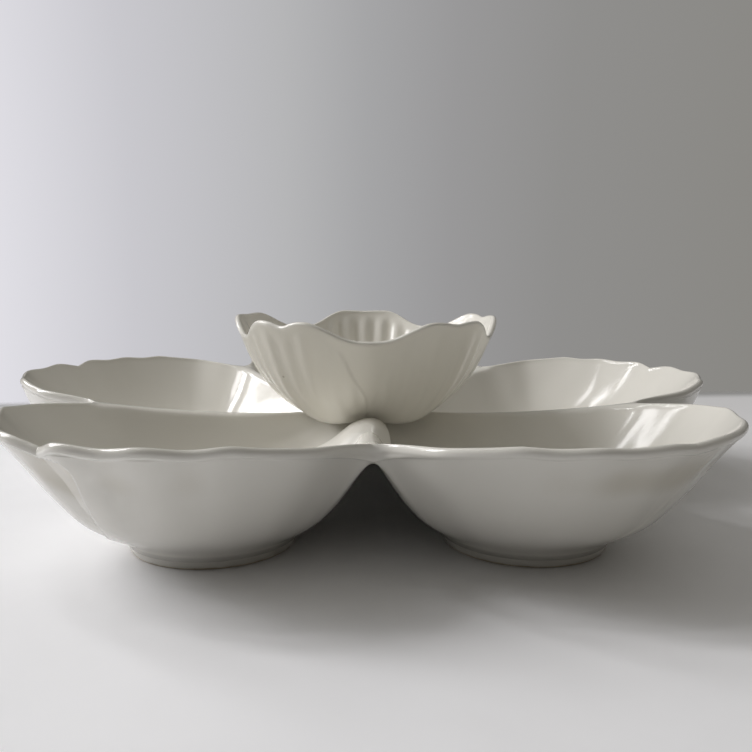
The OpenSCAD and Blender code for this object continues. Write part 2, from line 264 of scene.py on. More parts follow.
def half_edge(side, petal_shape, tip_steps, side_steps, cleft_steps, ridge_steps, seat_steps):
    """Edge of one half of a well, from the petal tip to the seat: x, y, height, 1 where the edge is
    a ridge and not a lip, and 1 where it turns in to the cleft."""
    pleat, notch, waves = petal_shape
    turn = np.append(np.linspace(0, TIP_FINE, tip_steps + 1)[:-1],
        np.linspace(TIP_FINE, RIM_TURN, side_steps + 1))
    p = np.abs(scallop_angle(side * turn, pleat))
    crimp = CRIMP * notch * np.exp(-p / CRIMP_TURN)
    rim = np.column_stack([polar(rim_d(p, notch, waves) - crimp, turn) + [WELL_REACH, 0],
        rim_h(p, turn, notch, waves) - crimp, 0 * turn, 0 * turn])
    s = np.linspace(0, 1, cleft_steps + 1)[1:]
    b = cleft_curve(s)
    turn = np.degrees(np.arctan2(b[:, 1], b[:, 0] - WELL_REACH))
    cleft = np.column_stack([b, rim_h(turn, turn), s * s, 0 * s + 1])
    t = np.linspace(CLEFT_REACH, SEAT_R, ridge_steps + 1)[1:]
    ridge = np.column_stack([polar(t, np.full(len(t), HALF)), crest_h(t), 0 * t + 1, 0 * t])
    corner = polar(SEAT_R, HALF)
    s = np.linspace(0, 1, seat_steps + 1)[1:]
    seat = np.column_stack([0 * s + corner[0], corner[1] * (1 - s), 0 * s + SEAT_Z, 0 * s + 1, 0 * s])
    return np.vstack([rim, cleft, ridge, seat]) * [1, side, 1, 1, 1]


# Steps along half a well's edge: at its tip, side, cleft, ridge and seat
EDGE_STEPS = (60, 46, 14, 44, 8)


def well_edge(petal_shape):
    """Once round a well's edge, with the same steps on both halves."""
    return np.vstack([half_edge(1, petal_shape, *EDGE_STEPS),
        half_edge(-1, petal_shape, *EDGE_STEPS)[-2:0:-1]])


def wall_rise(w, free):
    """Share of a wall's height at share w of the way out; free is 1 under a lip and 0 under a ridge."""
    return w - mix(BULGE, FREE_BULGE, free) * np.sin(np.pi * w)


def floor_rise(w, free):
    return wall_rise(w, free) * w * w * (1 + FLOOR_ROUND) / (w * w + FLOOR_ROUND)


# Keeps a length of zero from dividing
TINY = 1e-9
# Steps between two points of the lip's section, and its rows of points
LIP_STEPS = 3
CREST_ROW = 3 * LIP_STEPS
LAST_LIP_ROW = 6 * LIP_STEPS
# Powers that space the rows of the inner and outer wall, and rings of points on the floor and the sole
INNER_SPACING = 0.9
OUTER_SPACING = 1.6
FLOOR_RINGS = 5
SOLE_RINGS = 4
# Powers with which the rim's scallops, its corners and the face at a cleft fade down a wall
SCALLOP_FADE = 5
CORNER_FADE = 3
FACE_FADE = 8
LEAST_FILLET = 0.01


def eased(values, turn):
    """Values round a well, averaged over a few degrees where the edge has its corners."""
    out = np.abs((turn + 180) % 360 - 180)
    corner = np.maximum(bump(out, CLEFT_TURN, CLEFT_CORNER), grown(out, SEAT_CORNER_FROM, SEAT_CORNER_TURN))
    width = CORNER_LEAST + CORNER_TURN * corner
    gap = np.abs((turn[:, None] - turn[None, :] + 180) % 360 - 180)
    spacing = (np.roll(turn, -1) - np.roll(turn, 1)) % 360
    weight = np.exp(-(gap / width[:, None]) ** 2) * spacing
    return weight @ values / weight.sum(axis=1, keepdims=True)


def well_grid(edge, petal_shape, inner_rows=34, outer_rows=38):
    """Points of a well's skin by column and row, from the floor over the edge to the foot,
    with each point's turn about the well's centre and share of the way out."""
    x, y, height, ridge, face = edge.T[:, :, None]
    dx = x - WELL_REACH
    d = np.hypot(dx, y)
    turn = np.degrees(np.arctan2(y, dx))
    free = 1 - smooth((np.abs(turn) - FREE_TURN) / FREE_TURN)
    q = np.linspace(1, 0, CREST_ROW + 1)
    down = np.linspace(0, 1, LAST_LIP_ROW - CREST_ROW + 1)
    plain_down = np.concatenate([q * q * RIDGE_DROP, down[1:] * SEAT_T])
    face_down = np.concatenate([q[:-1] ** 2 * RIDGE_DROP, FACE_DOWN])
    back = face * ridge * np.concatenate([0 * q[:-1], FACE_BACK])
    ridge_in = np.append(q, 0 * down[1:]) * RIDGE_HALF_W
    ridge_down = np.where(face > 0, face_down, plain_down)
    section_in = mix(through(LIP_IN, LIP_STEPS) * LIP, ridge_in, ridge)
    section_down = mix(through(LIP_DOWN, LIP_STEPS) * LIP, ridge_down, ridge)
    edge_d = d - section_in
    edge_z = height - section_down
    round_off = np.clip(1 - np.arange(LAST_LIP_ROW + 1) / CREST_ROW, 0, 1)
    edge_d = mix(edge_d, eased(edge_d, turn[:, 0]), round_off)
    edge_z = mix(edge_z, eased(edge_z, turn[:, 0]), round_off)
    inner_w = np.linspace(0, 1, inner_rows + 1)[:-1] ** INNER_SPACING
    outer_w = 1 - np.linspace(0, 1, outer_rows + 1)[1:] ** OUTER_SPACING
    pleat, _, waves = petal_shape
    plain = waves * scallop(np.abs(scallop_angle(turn, pleat))) * (1 - inner_w ** SCALLOP_FADE)
    inner_d = edge_d[:, :1] - SCALLOP_R * plain
    inner_z = edge_z[:, :1] - SCALLOP_Z * plain
    last_d = mix(eased(edge_d[:, -1:], turn[:, 0]), edge_d[:, -1:], outer_w ** CORNER_FADE)
    fillet = FILLET * ridge
    wall_top = edge_z[:, -1:] + fillet
    slope = 1 + mix(BULGE, FREE_BULGE, free) * np.pi
    fillet_w = np.maximum(fillet, LEAST_FILLET) / ((wall_top - FOOT_H) * slope)
    under = mix(FOOT_H, wall_top, wall_rise(outer_w, free)) - fillet * np.exp((outer_w - 1) / fillet_w)
    under = under - FOOT_FILLET * np.exp(-outer_w / FOOT_FILLET_SHARE)
    floor_d = np.linspace(0, 1, FLOOR_RINGS + 2)[1:-1] * FLOOR_R
    sole_d = np.linspace(1, 0, SOLE_RINGS + 2)[1:-1] * FOOT_R
    dist = np.hstack([0 * d + floor_d, mix(FLOOR_R, inner_d, inner_w), edge_d,
        mix(FOOT_R + FOOT_STEP, last_d, outer_w), 0 * d + sole_d])
    z = np.hstack([0 * d + 0 * floor_d + FLOOR_Z, mix(FLOOR_Z, inner_z, floor_rise(inner_w, free)),
        edge_z, under, 0 * d + 0 * sole_d + FOOT_H])
    share = np.concatenate([0 * floor_d, inner_w, np.ones(LAST_LIP_ROW + 1), outer_w, 0 * sole_d])
    first_lip = len(floor_d) + inner_rows
    points = np.dstack([WELL_REACH + dx / d * dist, y / d * dist, z])
    reach = np.hypot(x, y)
    inward = np.hstack([np.zeros((len(edge), first_lip)), back, back[:, -1:] * outer_w ** FACE_FADE,
        np.zeros((len(edge), len(sole_d)))])
    points[..., 0] -= x / reach * inward
    points[..., 1] -= y / reach * inward
    return points, turn[:, 0], share, first_lip


def grid_normals(points):
    """Normals of a grid that closes round its columns, pointing out of the body."""
    across = np.roll(points, -1, axis=0) - np.roll(points, 1, axis=0)
    along = np.gradient(points, axis=1)
    n = np.cross(along, across)
    return n / np.maximum(np.linalg.norm(n, axis=2, keepdims=True), TINY)


# Modelling of a petal. Heights and depths are in millimetres and turns in degrees; a band is where it
# starts and over what it grows, and a place is its middle and width, as shares of the way out.
CREASE = 0.2
CREASE_TURN = 2.4
CREASE_BAND = (0.6, 0.3)
WAVE_BAND = (0.6, 0.4)
WAVE_INSIDE = 0.1
WAVE_OUTSIDE = 0.25
FLUTE = 0.1
FLUTE_PITCH = 11
FLUTE_FIRST = 14
FLUTE_TURNS = (22, 7)
FLUTE_BAND = (0.3, 0.3)
EDGE_FADE = 0.1
RIDGE_FADE_TURN = 6
# The pleat: its line down the outside as share of the way out and degrees from the notch, and its fold,
# which stands out on one side of the line and lies in on the other
PLEAT_AT = (0.2, 0.5, 0.72, 0.9, 0.95, 1.0)
PLEAT_LINE = (-8, 3, 6.5, 10, 8.5, 0)
PLEAT = 0.65
PLEAT_POWER = 1.5
PLEAT_OUT_TURN = 10
PLEAT_IN_TURN = 7
PLEAT_SHARP_TURN = 0.5
PLEAT_BAND = (0.12, 0.45)
PLEAT_TOP_LOSS = 0.4
PLEAT_TOP_BAND = (0.9, 0.1)
# The wall's fullness low down in the middle of a petal, and the hollow under its lip
KEEL_TURN = 40
KEEL = 1.4
KEEL_PLACE = (0.4, 0.2)
NECK = 0.8
NECK_PLACE = (0.84, 0.12)
# The petals whose wall stands fuller under the lip, by how much, up to which turn and how it fades
FULL_PETALS = {"right": 3, "left": 3}
FULL_TURN = 45
FULL_FADE_TURN = 25
FULL_PLACE = (0.84, 0.13)


def well_relief(points, turn, share, first_lip, side):
    """Height of the petal's modelling above the plain skin, in millimetres: the pleat down the middle of
    the petal, the soft waves under the lip and the broad flutes towards the clefts."""
    pleat, notch, waves = PETALS[side]
    rows = np.arange(points.shape[1])
    inside = (rows < first_lip)[None, :]
    outside = (rows > first_lip + LAST_LIP_ROW)[None, :]
    about_axis = np.degrees(np.arctan2(points[..., 1], points[..., 0]))
    w = share[None, :]
    p = scallop_angle(turn, pleat)[:, None]
    wave = waves * scallop(np.abs(p)) * grown(w, *WAVE_BAND)
    edge_fade = ended(w, 1, EDGE_FADE) * ended(np.abs(about_axis), HALF, RIDGE_FADE_TURN)
    crease = -CREASE * notch * np.exp(-np.abs(p) / CREASE_TURN) * grown(w, *CREASE_BAND)
    flute = FLUTE * np.sin(2 * np.pi * (np.abs(about_axis) - FLUTE_FIRST) / FLUTE_PITCH) \
        * bump(np.abs(about_axis), *FLUTE_TURNS) * grown(w, *FLUTE_BAND)
    line = p - np.interp(w, PLEAT_AT, PLEAT_LINE)
    fold = np.where(line > 0, np.exp(-line / PLEAT_OUT_TURN), -np.exp(line / PLEAT_IN_TURN)) \
        * smooth(np.abs(line) / PLEAT_SHARP_TURN)
    pleat_out = PLEAT * notch ** PLEAT_POWER * fold * grown(w, *PLEAT_BAND) \
        * (1 - PLEAT_TOP_LOSS * grown(w, *PLEAT_TOP_BAND))
    keel = bump(p, 0, KEEL_TURN) * (KEEL * bump(w, *KEEL_PLACE) - NECK * bump(w, *NECK_PLACE))
    past = np.maximum(np.abs(turn)[:, None] - FULL_TURN, 0)
    shoulder = FULL_PETALS.get(side, 0) * np.exp(-(past / FULL_FADE_TURN) ** 2) * bump(w, *FULL_PLACE)
    return inside * (crease - WAVE_INSIDE * wave + flute) * edge_fade \
        + outside * (pleat_out + keel + shoulder + WAVE_OUTSIDE * wave)


# Points closer than this lie in one place
NEAR = 0.004


def new_object(name, vertices, faces, depth=None):
    """A smooth object from points in millimetres; depth is stored for the glaze to pool in."""
    mesh = bpy.data.meshes.new(name)
    mesh.from_pydata([tuple(v) for v in np.asarray(vertices) * MM], [], faces)
    if depth is not None:
        stored = mesh.attributes.new("depth", "FLOAT", "POINT")
        stored.data.foreach_set("value", np.asarray(depth, float))
    obj = bpy.data.objects.new(name, mesh)
    bpy.context.scene.collection.objects.link(obj)
    return obj


def weld(obj):
    """Joins points that lie in one place, drops loose ones, and turns the faces outwards."""
    b = bmesh.new()
    b.from_mesh(obj.data)
    bmesh.ops.remove_doubles(b, verts=b.verts, dist=NEAR * MM)
    bmesh.ops.delete(b, geom=[v for v in b.verts if not v.link_faces], context="VERTS")
    bmesh.ops.recalc_face_normals(b, faces=b.faces)
    b.to_mesh(obj.data)
    b.free()
    obj.data.shade_smooth()
    return obj


def grid_faces(columns, rows, start=0, skip=None):
    """Quads of a grid that closes round its columns; skip says where faces are left out."""
    faces = []
    for j in range(columns):
        k = (j + 1) % columns
        for i in range(rows - 1):
            if skip is None or not (skip[j, i] and skip[k, i]):
                faces.append((start + j * rows + i, start + j * rows + i + 1,
                    start + k * rows + i + 1, start + k * rows + i))
    return faces


def turned(points, azimuth):
    a = math.radians(azimuth)
    x, y, z = points[..., 0], points[..., 1], points[..., 2]
    return np.stack([x * math.cos(a) - y * math.sin(a), x * math.sin(a) + y * math.cos(a), z], axis=-1)


def seat_patch(edge):
    """Top and underside of the raised seat inside its five corners, as rings of points."""
    flat = edge[np.abs(edge[:, 0] - SEAT_R * math.cos(math.radians(HALF))) < NEAR]
    flat = flat[np.argsort(flat[:, 1])][:-1]
    side = np.column_stack([flat[:, :2], 0 * flat[:, 0]])
    ring = np.vstack([turned(side, azimuth) for azimuth in sorted(WELLS.values())])
    unit = ring[:, :2] / np.hypot(ring[:, 0], ring[:, 1])[:, None]

    def circle(r, z):
        return np.column_stack([unit * r, np.full(len(unit), z)])
    top = [ring + [0, 0, SEAT_Z]] + [circle(SEAT_HOLE_R + out, SEAT_Z - down) for out, down in SEAT_EDGE] + [
        circle(SEAT_HOLE_R, SEAT_FLOOR_Z + SEAT_COVE), circle(SEAT_HOLE_R - SEAT_COVE, SEAT_FLOOR_Z),
        circle(CUP_R / 2, SEAT_FLOOR_Z), circle(MIDDLE_R, SEAT_FLOOR_Z)]
    low = SEAT_Z - SEAT_T
    under = [ring + [0, 0, low], circle(SEAT_R / 2, low), circle(MIDDLE_R, low)]
    return [np.stack(top, axis=1), np.stack(under, axis=1)]


def glazed_dish():
    """The fired dish in one skin: five wells, the ridges between them and the seat."""
    vertices, faces, depth = [], [], []
    for side, azimuth in WELLS.items():
        edge = well_edge(PETALS[side])
        points, turn, share, first_lip = well_grid(edge, PETALS[side])
        relief = well_relief(points, turn, share, first_lip, side)
        points = points + grid_normals(points) * relief[..., None]
        columns, rows = points.shape[:2]
        hidden = np.zeros((columns, rows), bool)
        hidden[edge[:, 3] == 1, first_lip + CREST_ROW:first_lip + LAST_LIP_ROW] = True
        start = len(vertices)
        placed = turned(points, azimuth)
        vertices.extend(placed.reshape(-1, 3))
        depth.extend(np.clip(-relief, 0, 1).ravel())
        faces.extend(grid_faces(columns, rows, start, hidden))
        for z, row in ((FLOOR_Z, 0), (FOOT_H, rows - 1)):
            pole = len(vertices)
            vertices.append(turned(np.array([WELL_REACH, 0, z]), azimuth))
            depth.append(0)
            faces.extend((start + j * rows + row, start + (j + 1) % columns * rows + row, pole)
                for j in range(columns))
    for patch in seat_patch(edge):
        start = len(vertices)
        vertices.extend(patch.reshape(-1, 3))
        depth.extend([0] * patch.shape[0] * patch.shape[1])
        faces.extend(grid_faces(patch.shape[0], patch.shape[1], start))
        pole = len(vertices)
        vertices.append(patch[:, -1].mean(axis=0))
        depth.append(0)
        columns, rows = patch.shape[:2]
        faces.extend((start + j * rows + rows - 1, start + (j + 1) % columns * rows + rows - 1, pole)
            for j in range(columns))
    return weld(new_object("glazed_dish", np.array(vertices) + AXIS, faces, depth))


def lathe(name, profile, centre, steps=160):
    """A closed ring turned from a profile of (radius, height)."""
    profile = np.array(profile)
    a = np.linspace(0, 360, steps, endpoint=False)
    points = np.stack([np.column_stack([polar(r, a), np.full(steps, z)]) for r, z in profile], axis=1)
    points = np.concatenate([points, points[:, :1]], axis=1)
    faces = grid_faces(steps, points.shape[1])
    return weld(new_object(name, points.reshape(-1, 3) + centre, faces))


def ring_profile(outer, width, height):
    """Section of a foot ring: eased at the foot, wiped flat underneath, let into the body above."""
    inner = outer - width
    top = height + FOOT_SUNK
    draft = [(outer - x, height * share) for x, share in FOOT_DRAFT_SHARES]
    outer_edge = [(outer - x, z) for x, z in FOOT_OUTER_EDGE]
    inner_edge = [(inner + x, z) for x, z in FOOT_INNER_EDGE]
    return [(outer, top)] + draft + outer_edge + inner_edge + [(inner, top)]


def foot_ring(side, azimuth):
    centre = turned(np.array([WELL_REACH, 0, 0]), azimuth) + AXIS
    return lathe("foot_ring_glazed_" + side, ring_profile(FOOT_R, FOOT_RING_W, FOOT_H), centre)


def petal(a):
    return (1 + np.cos(2 * np.pi * a / SECTOR)) / 2


def petal_rise(a):
    turn = np.maximum(0, np.abs(a) - PETAL_TURN) / (HALF - PETAL_TURN)
    return ((1 + np.cos(np.pi * turn)) / 2) ** PETAL_POWER


def bowl_out(h, a):
    body = mix((1 - (1 - h) ** BOWL_ROUND) ** BOWL_ROUND_ROOT, h ** 4, BOWL_FLARE)
    return body * (1 - BOWL_PINCH * (1 - petal(a)) ** 2 * (1 - h) ** BOWL_PINCH_POWER)


# Powers that space the rows of the bowl's inner and outer wall, points round its lip, rings on its floor
BOWL_INNER_SPACING = 1.7
BOWL_OUTER_SPACING = 1.9
BOWL_LIP_POINTS = 11
BOWL_FLOOR_RINGS = 3


def bowl_grid(columns=450, inner_rows=44, outer_rows=54):
    azimuth = WELLS["right"] + np.linspace(0, 360, columns, endpoint=False)
    a = ((azimuth - WELLS["right"] + HALF) % SECTOR - HALF)[:, None]
    notch_share = sum(share * bump((azimuth - WELLS[side] + 180) % 360 - 180, 0, HALF / 2)[:, None]
        for side, share in BOWL_NOTCH_SHARES.items())
    notch = BOWL_NOTCH * bump(a, 0, PETAL_TURN / 2) * notch_share
    top_h = mix(BOWL_VALLEY_H, BOWL_H, petal_rise(a)) - notch
    top_r = mix(BOWL_VALLEY_R, BOWL_R, petal_rise(a)) - notch / 2
    in_r = BOWL_DISC_R - BOWL_WALL
    lip_z = top_h - BOWL_LIP / 2
    up = np.linspace(0, 1, inner_rows + 1)[:-1] ** BOWL_INNER_SPACING
    down = np.linspace(1, 0, outer_rows + 1)[1:] ** BOWL_OUTER_SPACING
    bend = np.linspace(180, 0, BOWL_LIP_POINTS)[None, :]
    lip_in = BOWL_LIP / 2 * (1 - np.cos(np.radians(bend)))
    lip_up = BOWL_LIP / 2 * np.sin(np.radians(bend))
    hang = BOWL_SAG * petal(a) * down / BOWL_HANG * np.exp(1 - down / BOWL_HANG)
    ones = np.ones_like(a)
    floor = np.linspace(0, 1, BOWL_FLOOR_RINGS + 2)[1:-1] * in_r
    r = np.hstack([ones * floor, mix(in_r, top_r - BOWL_LIP, bowl_out(up, a)), top_r - lip_in,
        mix(BOWL_DISC_R, top_r, bowl_out(down, a))])
    z = np.hstack([ones * 0 * floor + BOWL_FLOOR, mix(BOWL_FLOOR, lip_z, up), lip_z + lip_up,
        lip_z * down - hang])
    share = np.concatenate([0 * floor, up, np.ones(bend.shape[1]), down])
    first_lip = len(floor) + inner_rows
    points = np.dstack([polar(r, azimuth[:, None] + 0 * r), z])
    return points, a, share, first_lip, bend.shape[1]


# Modelling of the dip bowl. A start, end or band is a place and the width over which it comes or goes, as
# shares of the height; turns, and the place where the veins begin beside a lap, are in degrees.
RIB_PITCH = 9
RIB_INSIDE = 0.48
RIB_START = (0.03, 0.2)
RIB_END = (0.97, 0.12)
RIB_SIDE_TURN = 5
VEIN_OUTSIDE = 0.2
VEIN_START = (0.08, 0.3)
VEIN_END = (0.97, 0.1)
VEIN_SIDE = (-2, 6)
# The front petals' edges: how far they stand back from the valley in degrees, at the foot and more towards
# the rim, the step there in millimetres, its share on the left of a petal, and how it fades
LAP_OPEN = 0.4
LAP_SPREAD = 9
LAP_SPREAD_BAND = (0.3, 0.5)
LAP_FLARE = 4
LAP_FLARE_BAND = (0.75, 0.2)
LAP_STEP = 0.45
LAP_LEFT_SHARE = 0.45
LAP_EDGE_TURN = 0.8
LAP_FADE_TURN = 14
LAP_START = (0.02, 0.08)
LAP_END = (0.93, 0.15)


def bowl_relief(a, share, first_lip, lip_rows):
    """Ribs of the dip bowl inside, and outside the veins and the edges of the front petals, which lap
    over a back petal in each valley; in millimetres above the plain skin."""
    rows = np.arange(len(share))
    h = share[None, :]
    inside = (rows < first_lip)[None, :]
    outside = (rows >= first_lip + lip_rows)[None, :]
    ribs = np.cos(2 * np.pi * a / RIB_PITCH)
    rib = RIB_INSIDE * ribs * grown(h, *RIB_START) * ended(h, *RIB_END) \
        * ended(np.abs(a), HALF, RIB_SIDE_TURN)
    open_turn = LAP_OPEN + LAP_SPREAD * grown(h, *LAP_SPREAD_BAND) + LAP_FLARE * grown(h, *LAP_FLARE_BAND)
    lap = HALF - open_turn - np.abs(a)
    vein = VEIN_OUTSIDE * ribs * grown(h, *VEIN_START) * ended(h, *VEIN_END) * grown(lap, *VEIN_SIDE)
    step = LAP_STEP * np.where(a > 0, 1.0, LAP_LEFT_SHARE) * smooth(lap / LAP_EDGE_TURN) \
        * np.exp(-np.maximum(lap, 0) / LAP_FADE_TURN) * ended(h, *LAP_END) * grown(h, *LAP_START)
    return inside * rib + outside * (vein + step)


def dip_bowl():
    points, a, share, first_lip, lip_rows = bowl_grid()
    relief = bowl_relief(a, share, first_lip, lip_rows)
    points = points + grid_normals(points) * relief[..., None]
    columns, rows = points.shape[:2]
    vertices = list(points.reshape(-1, 3))
    depth = list(np.clip(-relief, 0, 1).ravel())
    faces = grid_faces(columns, rows)
    for z, row in ((BOWL_FLOOR, 0), (0, rows - 1)):
        faces.extend((j * rows + row, (j + 1) % columns * rows + row, len(vertices)) for j in range(columns))
        vertices.append(np.array([0, 0, z]))
        depth.append(0)
    return weld(new_object("petal_dip_bowl", np.array(vertices) + AXIS + [0, 0, BOWL_Z], faces, depth))


def dip_bowl_foot():
    centre = AXIS + [0, 0, CUP_Z]
    return lathe("dip_bowl_foot_ring", ring_profile(CUP_R, CUP_RING_W, BOWL_Z - CUP_Z), centre)


# The stem: where its middle starts and ends towards the front and across, its half width and crown
STEM_FROM = 27.5
STEM_TO = 61
STEM_LEFT = -24
STEM_RIGHT = 12
STEM_MIDDLE = 0.9
STEM_HALF_W = 7.0
STEM_CROWN = (34.0, 35.2, 35.9, 36.1, 35.3, 33.4)
# The rounded end: where it starts, how far it stops short, the power of its outline, its drop and the
# least half width there
STEM_END_FROM = 49
STEM_END_SHORT = 1.5
STEM_END_POWER = 2.2
STEM_END_DROP = 1.2
STEM_END_HALF_W = 0.5
# Right side: depth of its round, and how steeply it falls past it
STEM_RIGHT_ROUND = 6.5
STEM_RIGHT_FALL = 30
# Width and height of the broad slope on its left, and how much deeper it is at the end
STEM_SLOPE_W = 15
STEM_SLOPE_H = 15
STEM_SLOPE_END = 8
# The oval mark of the cut stem: place, half sizes, turn, the height of its rim and the depth inside
STEM_RING_AT = (-2.6, 52.5)
STEM_RING = (5.0, 3.4)
STEM_RING_TURN = 28
STEM_RING_RIM = 0.12
STEM_RING_RIM_W = 0.16
STEM_RING_DEPTH = 0.14
STEM_RING_INSIDE = (0.95, 0.4)
# How softly it melts into the dish on the right and on the left, and the distance over which it changes
STEM_MELT = (0.8, 5)
STEM_MELT_W = 8
# How far it is sunk in the dish where it has melted in, at its border and underneath, its least
# thickness, and the width of that border
STEM_SUNK = 0.45
STEM_BORDER_SUNK = 0.5
STEM_BASE_SUNK = 0.9
STEM_BASE_T = 1.5
STEM_BORDER = 3
# A height above the dish, to look down on it from
ABOVE = 80


def stem(dish, across=140, along=150):
    """A rounded stub of stem that lies over the front ridge and melts into it on the left."""
    tree = BVHTree.FromObject(dish, bpy.context.evaluated_depsgraph_get())
    u = np.linspace(STEM_LEFT, STEM_RIGHT, across)
    t = np.linspace(STEM_FROM, STEM_TO, along)
    ground = np.zeros((along, across))
    for i in range(along):
        for j in range(across):
            place = (np.array([u[j], -t[i], ABOVE]) + AXIS) * MM
            hit = tree.ray_cast(place.tolist(), (0, 0, -1))
            ground[i, j] = hit[0][2] / MM
    crown = np.interp(t, np.linspace(STEM_FROM, STEM_TO, len(STEM_CROWN)), STEM_CROWN)[:, None]
    end = np.clip((t[:, None] - STEM_END_FROM) / (STEM_TO - STEM_END_SHORT - STEM_END_FROM), 0, 1)
    half = STEM_HALF_W * np.sqrt(np.clip(1 - end ** STEM_END_POWER, 0.0, 1))
    aside = np.abs(u[None, :] - STEM_MIDDLE) / np.maximum(half, STEM_END_HALF_W)
    offset = np.clip(aside, 0, 1)
    right = STEM_RIGHT_ROUND * (1 - np.sqrt(1 - offset ** 2)) + STEM_RIGHT_FALL * np.maximum(0, aside - 1)
    slope = STEM_SLOPE_H * (1 - bump(u[None, :], STEM_MIDDLE, STEM_SLOPE_W)) + STEM_SLOPE_END * end ** 6
    body = crown - STEM_END_DROP * end ** 3 - np.where(u[None, :] > STEM_MIDDLE, right, slope)
    turn = math.radians(STEM_RING_TURN)
    du = u[None, :] - STEM_RING_AT[0]
    dt = t[:, None] - STEM_RING_AT[1]
    ring = np.hypot((du * math.cos(turn) + dt * math.sin(turn)) / STEM_RING[0],
        (dt * math.cos(turn) - du * math.sin(turn)) / STEM_RING[1])
    body = body + STEM_RING_RIM * bump(ring, 1, STEM_RING_RIM_W) \
        - STEM_RING_DEPTH * ended(ring, *STEM_RING_INSIDE)
    soft = mix(*STEM_MELT, smooth(-u[None, :] / STEM_MELT_W))
    low = ground - STEM_SUNK
    z = (low + body + np.sqrt((low - body) ** 2 + soft ** 2)) / 2
    border = np.minimum(np.minimum(u - STEM_LEFT, STEM_RIGHT - u)[None, :],
        np.minimum(t - STEM_FROM, STEM_TO - t)[:, None])
    z = mix(ground - STEM_BORDER_SUNK, z, smooth(border / STEM_BORDER))
    top = np.dstack([u[None, :] + 0 * z, -t[:, None] + 0 * z, z])
    base = top - [0, 0, STEM_BASE_T]
    base[..., 2] = np.minimum(base[..., 2], ground - STEM_BASE_SUNK)
    vertices = np.vstack([top.reshape(-1, 3), base.reshape(-1, 3)])
    count = along * across
    faces = []
    for i in range(along - 1):
        for j in range(across - 1):
            a = i * across + j
            faces.append((a, a + 1, a + across + 1, a + across))
            faces.append((count + a, count + a + across, count + a + across + 1, count + a + 1))
    rim = list(range(across)) + [i * across + across - 1 for i in range(1, along)] \
        + [(along - 1) * across + j for j in range(across - 2, -1, -1)] \
        + [i * across for i in range(along - 2, 0, -1)]
    faces.extend((a, b, count + b, count + a) for a, b in zip(rim, rim[1:] + rim[:1]))
    return weld(new_object("stem_stub", vertices + AXIS, faces))


def new_node(tree, kind, **settings):
    """A node of that kind with its settings."""
    node = tree.nodes.new(kind)
    for key, setting in settings.items():
        setattr(node, key, setting)
    return node


def new_group(name, inputs, outputs):
    group = bpy.data.node_groups.new(name, "ShaderNodeTree")
    for label, kind, default in inputs:
        socket = group.interface.new_socket(label, in_out="INPUT", socket_type=kind)
        socket.default_value = default
    for label, kind in outputs:
        group.interface.new_socket(label, in_out="OUTPUT", socket_type=kind)
    return group, group.nodes.new("NodeGroupInput"), group.nodes.new("NodeGroupOutput")


# Patterns of the glaze and the clay: a scale is in features per metre, and a band is where a noise or a
# distance starts to count and where it counts fully
DRIFT_SCALE = 14.0
DRIFT_BAND = (0.35, 0.7)
POOL_BAND = (0.15, 0.9)
PEEL_SCALE = 70.0
PEEL_FINE_SCALE = 420.0
PEEL_FINE_SHARE = 0.12
PEEL_DEPTH = 0.0006
HAZE_SCALE = 26.0
HAZE_BAND = (0.4, 0.75)
SPECK_BAND = (0.035, 0.06)
SPECK_RARE = 0.86
WIPE_SCALE = 180.0
WIPE_WANDER = 0.0005
WIPE_BAND = (0.0002, 0.0006)
CLAY_SCALE = 320.0
CLAY_BAND = (0.3, 0.7)
CLAY_ROUGHNESS = 0.85
GLAZE_ROUGHNESS_LOSS = 0.68
GLAZE_IOR = 1.52


def ramp_between(tree, source, low, high, to_low=0.0, to_high=1.0):
    node = new_node(tree, "ShaderNodeMapRange", clamp=True, interpolation_type="SMOOTHSTEP")
    tree.links.new(source, node.inputs["Value"])
    for label, number in (("From Min", low), ("From Max", high), ("To Min", to_low), ("To Max", to_high)):
        node.inputs[label].default_value = number
    return node.outputs["Result"]


def noise(tree, place, scale, detail=3.0, rough=0.5):
    node = new_node(tree, "ShaderNodeTexNoise")
    tree.links.new(place, node.inputs["Vector"])
    node.inputs["Scale"].default_value = scale
    node.inputs["Detail"].default_value = detail
    node.inputs["Roughness"].default_value = rough
    return node.outputs["Fac"]


def mix_colour(tree, factor, a, b):
    node = new_node(tree, "ShaderNodeMix", data_type="RGBA")
    for label, source in (("Factor", factor), ("A", a), ("B", b)):
        named = [s for s in node.inputs if s.name == label]
        socket = [s for s in named if label == "Factor" or s.type == "RGBA"][0]
        if isinstance(source, bpy.types.NodeSocket):
            tree.links.new(source, socket)
        else:
            socket.default_value = source
    return [s for s in node.outputs if s.type == "RGBA"][0]


def arithmetic(tree, operation, a, b):
    node = new_node(tree, "ShaderNodeMath", operation=operation)
    for socket, source in zip(node.inputs, (a, b)):
        if isinstance(source, bpy.types.NodeSocket):
            tree.links.new(source, socket)
        else:
            socket.default_value = source
    return node.outputs[0]


